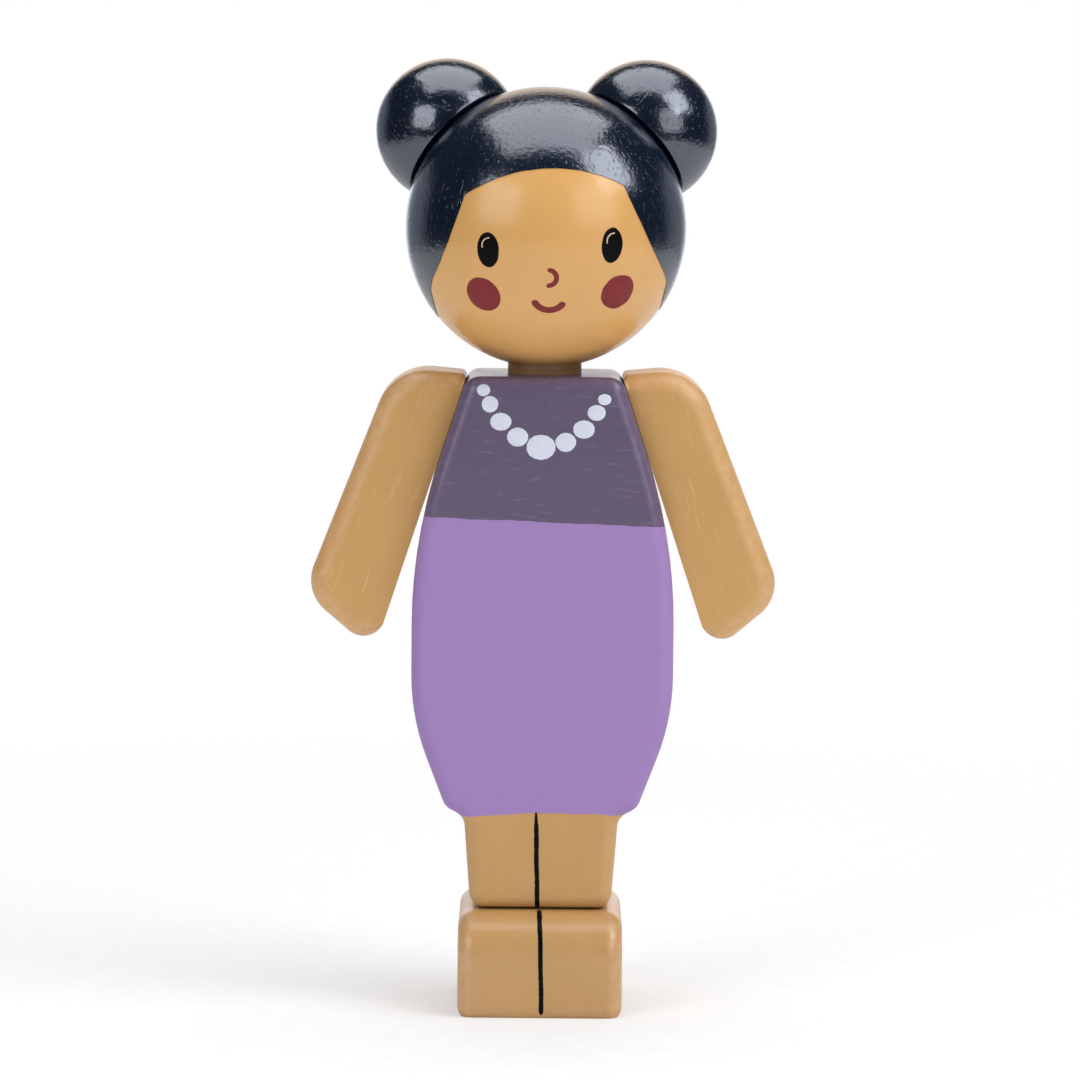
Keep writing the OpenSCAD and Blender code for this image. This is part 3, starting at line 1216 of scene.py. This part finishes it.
    def build_eye(self, side: Side, azimuth: float, elevation: float, surface: BVHTree) -> None:
        """Paints one eye with the glint in it.

        Args:
            side: The eye's side.
            azimuth: Its place round the head in degrees.
            elevation: Its place above level in degrees.
            surface: The bare ball.
        """
        stand = Stand.on_ball(self.centre, azimuth, elevation)
        eye = PaintMark(stand, surface)
        eye.dot(self.eye_wide, self.eye_high, self.oval_sides, self.oval_unrest, azimuth)
        eye.piece(f"eye_{side.tag}", BLACK_MARK, "head", "face_paint")
        glint = PaintMark(stand, surface, self.glint_film).stroke(self.glint)
        glint.piece(f"eye_glint_{side.tag}", GLINT_MARK, "head", "face_paint")

    def build_face(self, surface: BVHTree) -> None:
        """Paints eyes, cheeks, nose and mouth on the bare ball.

        Args:
            surface: The bare ball.
        """
        for side, azimuth, elevation in self.eyes:
            self.build_eye(side, azimuth, elevation, surface)
        for side, azimuth, elevation in self.cheeks:
            cheek = PaintMark(Stand.on_ball(self.centre, azimuth, elevation), surface)
            cheek.dot(self.cheek_r, self.cheek_r, self.oval_sides, self.oval_unrest, elevation)
            cheek.piece(f"cheek_{side.tag}", ROSE_MARK, "head", "face_paint")
        strokes = (("nose", self.nose_spot, self.nose), ("mouth", self.mouth_spot, self.mouth))
        for name, spot, brush in strokes:
            mark = PaintMark(Stand.on_ball(self.centre, *spot), surface).stroke(brush)
            mark.piece(name, ROSE_MARK, "head", "face_paint")

    def dress(self) -> None:
        """Builds the ball, its hair and its face and hands them in."""
        ball = self.build_ball()
        surface = ball.surface()
        hand_in(ball.piece("head_ball", [FACE_SKIN]), "head", "face_paint", "head")
        hair = self.build_hair().piece("hair_film", [hair_paint("head_hair_paint", UPRIGHT)])
        hand_in(hair, "head", "hair_paint")
        self.build_face(surface)


@dataclass
class Buns:
    """The two hair buns on the flats of the head."""

    radius: float = 9.0 * MM
    cut: float = 6.3 * MM
    ease: float = 0.3 * MM
    seat: float = BUN_SEAT
    head_height: float = HEAD_HEIGHT
    facets: tuple[int, int] = (160, 96)

    def build(self, side: Side) -> Form:
        """Turns one bun and sets it on its flat.

        Args:
            side: The bun's side.

        Returns:
            The bun in its place.
        """
        form = Form()
        form.ball(self.radius, *self.facets)
        rim = form.cut(UP * (self.cut - self.radius), DOWN, clear=True)
        form.soften(rim, self.ease)
        form.place(lifted(self.head_height) @ bun_turn(side) @ lifted(self.seat + self.radius - self.cut))
        return form

    def dress(self) -> None:
        """Builds both buns and hands them in."""
        for side in Side:
            paint = hair_paint(f"bun_{side.tag}_hair_paint", bun_turn(side))
            made = self.build(side).piece(f"bun_ball_{side.tag}", [paint])
            hand_in(made, "head", "hair_paint", f"bun_{side.tag}")


@dataclass
class Neck:
    """The neck dowel, painted where it shows, darker as painted shade under the head."""

    radius: float = 4.6 * MM
    low: float = 73.3 * MM
    high: float = 92.3 * MM
    ease: float = 0.4 * MM
    facets: int = 96

    def dress(self) -> None:
        """Builds the dowel and hands it in."""
        form = Form()
        bmesh.ops.create_cone(
            form.bm, cap_ends=True, segments=self.facets, radius1=self.radius, radius2=self.radius,
            depth=self.high - self.low,
        )
        ends = [e for e in form.bm.edges if abs(e.verts[0].co.z - e.verts[1].co.z) < 1e-9]
        form.soften(ends, self.ease)
        form.place(lifted((self.low + self.high) / 2))
        hand_in(form.piece("neck_dowel", [NECK_SHADED_SKIN]), "body", "skin_paint", "neck_peg")


# Body


@dataclass(frozen=True)
class PaintLine:
    """A line round the body where two paints meet, drawn by hand on the flat faces."""

    level: float
    fall_left: float
    fall_right: float
    bow: float
    seed: float

    def fall(self, side: Side) -> float:
        """Gives how steeply the line falls from the middle to a side."""
        return self.fall_left if side is Side.LEFT else self.fall_right

    def height(self, x: float) -> float:
        """Gives the line's height at a place across the body."""
        return self.level - abs(x) * self.fall(Side.LEFT if x > 0 else Side.RIGHT)


@dataclass
class Body:
    """The board-cut body: bodice, skirt and legs in one, with the painted necklace."""

    foot_top: float = FOOT_TOP
    height: float = 66.4 * MM
    thickness: float = 18.0 * MM
    shoulder: float = 19.1 * MM
    hip: float = 32.5 * MM
    hem: float = 23.9 * MM
    hem_height: float = 12.7 * MM
    hem_step: float = 1.2 * MM
    leg_top: float = 19.2 * MM
    leg_end: float = 17.5 * MM
    skirt_slope: float = 21.0
    hip_r: float = 66.0 * MM
    skirt_r: float = 29.0 * MM
    corner_r: float = 2.1 * MM
    edge_r: float = 1.8 * MM
    waist: PaintLine = PaintLine(61.26 * MM, 0.0385, -0.033, 0.0, 1.0)
    hem_line: PaintLine = PaintLine(24.84 * MM, 0.018, 0.05, 0.1 * MM, 5.0)
    seam_shade_height: float = 0.25 * MM
    wander: float = 0.16 * MM
    quick_pitch: float = 1.6 * MM
    slow_pitch: float = 6.0 * MM
    line_cuts: int = 36
    least_run: float = 2.0 * MM
    flat_face: float = 0.999
    leg_line: LineStroke = LineStroke(
        start=(-0.62 * MM, 25.05 * MM), end=(-0.36 * MM, 12.9 * MM), sway=0.1 * MM, seed=3.0,
        half=0.3 * MM, run=12.2 * MM, taper=0.55, unrest=0.2, steps=160)
    pearl_film: float = 0.1 * MM
    pearl_sides: int = 14
    pearl_unrest: float = 0.05
    pearls: tuple = (
        (-7.52, 77.5, 0.84, 0.74), (-6.7, 75.78, 1.03, 1.03), (-5.36, 73.63, 1.32, 1.11),
        (-3.28, 71.75, 1.32, 1.19), (-0.38, 70.5, 1.82, 1.56), (2.66, 71.15, 1.29, 1.19),
        (4.89, 72.75, 1.34, 1.14), (6.43, 74.81, 1.14, 0.98), (7.4, 76.46, 0.84, 0.7),
    )

    def outline(self) -> list[Corner]:
        """Draws the board's outline.

        Returns:
            Its corners, anticlockwise, from the leg's end on the doll's left.
        """
        slope = math.tan(math.radians(SHOULDER_SLOPE))
        flare = math.tan(math.radians(self.skirt_slope))
        half = [
            Corner(self.leg_end / 2, 0.0, self.corner_r),
            Corner(self.leg_top / 2, self.hem_height - self.hem_step, self.corner_r),
            Corner(self.hem / 2, self.hem_height, self.corner_r),
            Corner(self.hip / 2, self.hem_height + (self.hip - self.hem) / 2 / flare, self.skirt_r),
            Corner(self.hip / 2, self.height - (self.hip - self.shoulder) / 2 / slope, self.hip_r),
            Corner(self.shoulder / 2, self.height, self.corner_r),
        ]
        return half + [Corner(-c.x, c.y, c.radius) for c in reversed(half)]

    def score(self, form: Form, line: PaintLine) -> None:
        """Scores a paint line round the board.

        Args:
            form: The board in its place, split in the middle.
            line: The line.
        """
        scored = []
        for side in Side:
            normal = Vector((side.value * line.fall(side), 0.0, 1.0)).normalized()
            scored += form.cut(UP * line.level, normal, form.half(side))
        long_edges = [e for e in scored if e.calc_length() > self.least_run]
        done = bmesh.ops.subdivide_edges(form.bm, edges=long_edges, cuts=self.line_cuts)
        form.bm.normal_update()
        for vert in (g for g in done["geom_inner"] if isinstance(g, BMVert)):
            if all(abs(face.normal.y) > self.flat_face for face in vert.link_faces):
                share = min(1.0, abs(vert.co.x) / (self.leg_top / 2))
                quick = noise.noise((vert.co.x / self.quick_pitch, vert.co.y / self.quick_pitch, line.seed))
                slow = noise.noise((vert.co.x / self.slow_pitch, vert.co.y / self.slow_pitch, line.seed + 7))
                vert.co.z += self.wander * (0.5 * quick + 0.6 * slow) + line.bow * 4 * share * (1 - share)

    def build(self) -> Form:
        """Cuts the board, rounds it and scores its paint lines.

        Returns:
            The body in its place.
        """
        form = Form()
        form.board(self.outline(), self.thickness, self.edge_r)
        form.place(lifted(self.foot_top) @ rotation(90, "X"))
        form.cut(ORIGIN, Vector((1.0, 0.0, 0.0)))
        for line in (self.waist, self.hem_line):
            self.score(form, line)
        for face in form.bm.faces:
            spot = face.calc_center_median()
            face.material_index = sum(spot.z < line.height(spot.x) for line in (self.waist, self.hem_line))
            # The legs' underside next to the foot takes the dark seam paint, partly painted shade.
            face.material_index += int(spot.z < self.foot_top + self.seam_shade_height)
        return form

    def build_necklace(self, surface: BVHTree) -> None:
        """Dots the necklace onto the bodice, the doll's right end first.

        Args:
            surface: The board's surface.
        """
        for number, (x, z, wide, high) in enumerate(self.pearls, 1):
            stand = Stand.leaning(Vector((x * MM, 0.0, z * MM)), 0.0)
            dot = PaintMark(stand, surface, self.pearl_film)
            dot.dot(wide * MM, high * MM, self.pearl_sides, self.pearl_unrest, number)
            dot.piece(f"pearl_{number}", PEARL_MARK, "body", "dress_paint")

    def dress(self) -> None:
        """Builds the body, its necklace and the line between its legs."""
        form = self.build()
        surface = form.surface()
        made = form.piece("body_board", [BODICE, DRESS, LEG_SKIN, SEAM_SHADE], weighted=True)
        hand_in(made, "body", "dress_paint", "torso")
        self.build_necklace(surface)
        line = PaintMark(Stand.leaning(ORIGIN, 0.0), surface).stroke(self.leg_line)
        line.piece("leg_line", BLACK_MARK, "body", "skin_paint")


@dataclass
class FootBlock:
    """The block under the legs that makes both feet."""

    width: float = 20.4 * MM
    length: float = 23.0 * MM
    height: float = FOOT_TOP
    heel: float = 9.0 * MM
    toe_r: float = 5.0 * MM
    corner_r: float = 2.3 * MM
    edge_r: float = 2.0 * MM
    sole_cut: float = 0.8 * MM
    line_at: tuple[float, float, float] = (0.0, -12.0 * MM, 9.0 * MM)
    line_lean: float = 45.0
    line: LineStroke = LineStroke(
        start=(-0.12 * MM, 4.75 * MM), end=(0.2 * MM, -7.3 * MM), sway=0.12 * MM, seed=9.0,
        half=0.3 * MM, run=12.0 * MM, unrest=0.15, steps=160)

    def build(self) -> Form:
        """Rounds the block and saws its sole flat.

        Returns:
            The block in its place.
        """
        form = Form()
        toe = self.length - self.heel
        form.board([
            Corner(-self.heel, -self.sole_cut, self.corner_r), Corner(toe, -self.sole_cut, self.corner_r),
            Corner(toe, self.height, self.toe_r), Corner(-self.heel, self.height, self.corner_r),
        ], self.width, self.edge_r)
        form.place(rotation(-90, "Z") @ rotation(90, "X"))
        form.cut(ORIGIN, DOWN, clear=True)
        return form

    def dress(self) -> None:
        """Builds the block and the line between its feet."""
        form = self.build()
        surface = form.surface()
        made = form.piece("foot_form", [FOOT_SKIN], weighted=True)
        hand_in(made, "body", "skin_paint", "foot_block")
        stand = Stand.leaning(Vector(self.line_at), self.line_lean)
        line = PaintMark(stand, surface).stroke(self.line)
        line.piece("foot_line", BLACK_MARK, "body", "skin_paint")


@dataclass
class Arms:
    """The two flat arms that swing on the shoulder elastic."""

    thickness: float = 12.0 * MM
    shoulder: float = 9.0 * MM
    hand: float = 10.7 * MM
    inner: float = 29.8 * MM
    outer: float = 25.5 * MM
    inner_rise: float = 6.9 * MM
    outer_rise: float = 4.8 * MM
    shoulder_r: float = 6.6 * MM
    hand_outer_r: float = 5.0 * MM
    hand_inner_r: float = 2.7 * MM
    edge_r: float = 2.5 * MM
    top_r: float = 0.6 * MM
    shoulder_room: float = 0.8
    gap: float = 0.06 * MM
    pivot: tuple = (11.687 * MM, 0.0, 72.6 * MM)

    def build(self, side: Side) -> Form:
        """Shapes one arm and hangs it on its shoulder.

        Args:
            side: The arm's side.

        Returns:
            The arm in its place.
        """
        form = Form()
        form.board([
            Corner(0.0, -self.inner, self.hand_inner_r), Corner(self.hand, -self.outer, self.hand_outer_r),
            Corner(self.shoulder, self.outer_rise, self.shoulder_r, self.shoulder_room),
            Corner(0.0, self.inner_rise, self.top_r),
        ], self.thickness, self.edge_r, flat_side=True)
        # The flat inner side takes the second paint, the darker painted shade.
        for face in form.bm.faces:
            face.material_index = int(max(v.co.x for v in face.verts) < 1e-6)
        stand = Matrix.Translation((self.gap, 0.0, 0.0)) @ rotation(90, "X")
        hung = Matrix.Translation(self.pivot) @ rotation(-SHOULDER_SLOPE, "Y")
        form.place(Matrix.Scale(side.value, 4, (1, 0, 0)) @ hung @ stand)
        return form

    def dress(self) -> None:
        """Builds both arms and hands them in."""
        for side in Side:
            turn = rotation(-side.value * SHOULDER_SLOPE, "Y")
            # The arms' lighter edge band is worn paint and painted sheen on the roundovers.
            paint = skin_paint(
                f"arm_{side.tag}_skin_paint", chip(201, 156, 95), chip(193, 148, 89), turn,
                pit_colour=chip(228, 188, 134), pit_share=0.42, roughness=0.36,
                worn_colour=chip(218, 174, 132), worn_share=0.55,
                grain=Grain(turn=grain_to(turn), pit_across=4200.0, pit_along=170.0, pit_threshold=0.67),
            )
            made = self.build(side).piece(f"arm_form_{side.tag}", [paint, ARM_INNER_SHADE], weighted=True)
            hand_in(made, f"{side.tag}_arm", "skin_paint", f"arm_{side.tag}")


@dataclass
class Fittings:
    """The pegs, plugs and elastic inside the doll, which keep their CAD shapes."""

    wooden: tuple = ("foot_peg_left", "foot_peg_right", "bun_peg_left", "bun_peg_right",
                     "arm_plug_left", "arm_plug_right")
    braided: tuple = ("shoulder_elastic",)

    def dress(self) -> None:
        """Gives each fitting its finish."""
        wood, elastic = BareWood().material(), BraidedElastic().material()
        for names, finish in ((self.wooden, wood), (self.braided, elastic)):
            for name in names:
                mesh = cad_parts[name].data
                mesh.materials.clear()
                mesh.materials.append(finish)
                LOG.info("%s keeps its CAD shape in %s", name, finish.name)


# Studio


@dataclass(frozen=True)
class SoftBox:
    """A plain soft lamp: the way to it, its distance, size and brightness."""

    name: str
    way: tuple[float, float, float]
    distance: float
    size: tuple[float, float]
    brightness: float

    def build(self, target: Vector) -> None:
        """Hangs the lamp so that it faces the doll.

        Args:
            target: What the lamp faces.
        """
        lamp = bpy.data.lights.new(self.name, "AREA")
        lamp.shape = "RECTANGLE"
        lamp.size, lamp.size_y = self.size
        lamp.energy = self.brightness * math.pi * self.size[0] * self.size[1]
        made = set_up(self.name, lamp)
        way = Vector(self.way).normalized()
        made.location = target + way * self.distance
        made.rotation_euler = way.to_track_quat("Z", "Y").to_euler()
        made.visible_camera = False


@dataclass
class Studio:
    """The camera, a pale floor, soft boxes and a plain room."""

    stand_off: float = 620.0 * MM
    camera_height: float = 124.0 * MM
    aim_height: float = 58.07 * MM
    sideways: float = -0.41 * MM
    roll: float = 0.484
    lens: float = 165.97
    sensor: float = 36.0
    nearest: float = 0.01
    floor_size: float = 0.5
    dim_tone: Colour = (0.035, 0.04, 0.048)
    # Each set of bands runs across, back and up.
    strip_tones: tuple[Colour, Colour] = ((1.62, 1.68, 1.82), (0.36, 0.39, 0.45))
    strip_bands: tuple = ((0.2, 0.5), (0.35, 0.6), (0.2, 0.36, 1.0, 0.0))
    wall_tone: Colour = (1.5, 1.22, 0.96)
    wall_bands: tuple = ((0.28, 0.46, 1.0, 0.0), (0.75, 0.88), (0.12, 0.26))
    boxes: tuple = (
        SoftBox("top_box", (0.0, 0.12, 1.0), 0.9, (1.0, 0.95), 2.6),
        SoftBox("front_right_box", (-0.60, -0.69, 0.41), 0.8, (0.46, 0.46), 3.3),
        SoftBox("front_left_box", (0.63, -0.68, 0.37), 0.8, (0.48, 0.48), 2.2),
        SoftBox("high_left_box", (0.67, -0.25, 0.70), 0.8, (0.42, 0.42), 4.8),
    )

    def build_camera(self) -> None:
        """Sets the camera at the photograph's viewing angle."""
        lens = bpy.data.cameras.new("camera")
        lens.lens = self.lens
        lens.sensor_width = self.sensor
        lens.clip_start = self.nearest
        made = set_up("camera", lens)
        pitch = math.atan2(self.camera_height - self.aim_height, self.stand_off)
        turn = Matrix.Rotation(math.pi / 2 - pitch, 4, "X") @ rotation(self.roll, "Z")
        made.matrix_world = Matrix.Translation((self.sideways, -self.stand_off, self.camera_height)) @ turn
        bpy.context.scene.camera = made

    def build_floor(self) -> None:
        """Lays the pale floor."""
        bm = bmesh.new()
        bmesh.ops.create_grid(bm, x_segments=2, y_segments=2, size=self.floor_size)
        mesh = bpy.data.meshes.new("floor")
        bm.to_mesh(mesh)
        bm.free()
        mesh.materials.append(FloorPaper().material())
        set_up("floor", mesh)

    def build_room(self) -> None:
        """Sets the room: white to the camera, dim ahead, with a pale strip and a warm wall behind."""
        world = bpy.data.worlds.new("room")
        sheet = blank(world)
        way = sheet.add("ShaderNodeTexCoord").outputs["Generated"]
        parts = sheet.add("ShaderNodeSeparateXYZ", {0: way}).outputs
        aside, back, up = sheet.math("ABSOLUTE", parts["X"]), parts["Y"], parts["Z"]
        strip_x, strip_y, strip_z = self.strip_bands
        wall_x, wall_y, wall_z = self.wall_bands
        low = sheet.math("MULTIPLY", sheet.ramp(back, *strip_y), sheet.ramp(up, *strip_z))
        wall = sheet.math("MULTIPLY", sheet.ramp(back, *wall_y), sheet.ramp(aside, *wall_x))
        wall = sheet.math("MULTIPLY", wall, sheet.ramp(up, *wall_z))
        strip = sheet.mix(sheet.ramp(aside, *strip_x), *self.strip_tones)
        room = sheet.mix(wall, sheet.mix(low, self.dim_tone, strip), self.wall_tone)
        lit = sheet.add("ShaderNodeBackground", {"Color": room, "Strength": 1.0})
        white = sheet.add("ShaderNodeBackground", {"Color": (1.0, 1.0, 1.0), "Strength": 1.0})
        rays = sheet.add("ShaderNodeLightPath").outputs
        seen = sheet.math("MAXIMUM", rays["Is Camera Ray"], rays["Is Transmission Ray"])
        both = sheet.add("ShaderNodeMixShader", {0: seen, 1: lit.outputs[0], 2: white.outputs[0]})
        sheet.set(sheet.add("ShaderNodeOutputWorld").inputs["Surface"], both.outputs[0])
        bpy.context.scene.world = world

    def build(self) -> None:
        """Builds the whole studio."""
        self.build_camera()
        self.build_floor()
        self.build_room()
        for box in self.boxes:
            box.build(UP * self.aim_height)
        bpy.context.scene.view_settings.view_transform = "Standard"


def main() -> None:
    """Builds the studio and the doll, logging each piece."""
    logging.basicConfig(level=logging.INFO, format="%(name)s: %(message)s")
    Studio().build()
    for part in (Head(), Buns(), Neck(), Body(), FootBlock(), Arms(), Fittings()):
        part.dress()


if __name__ == "__main__":
    main()
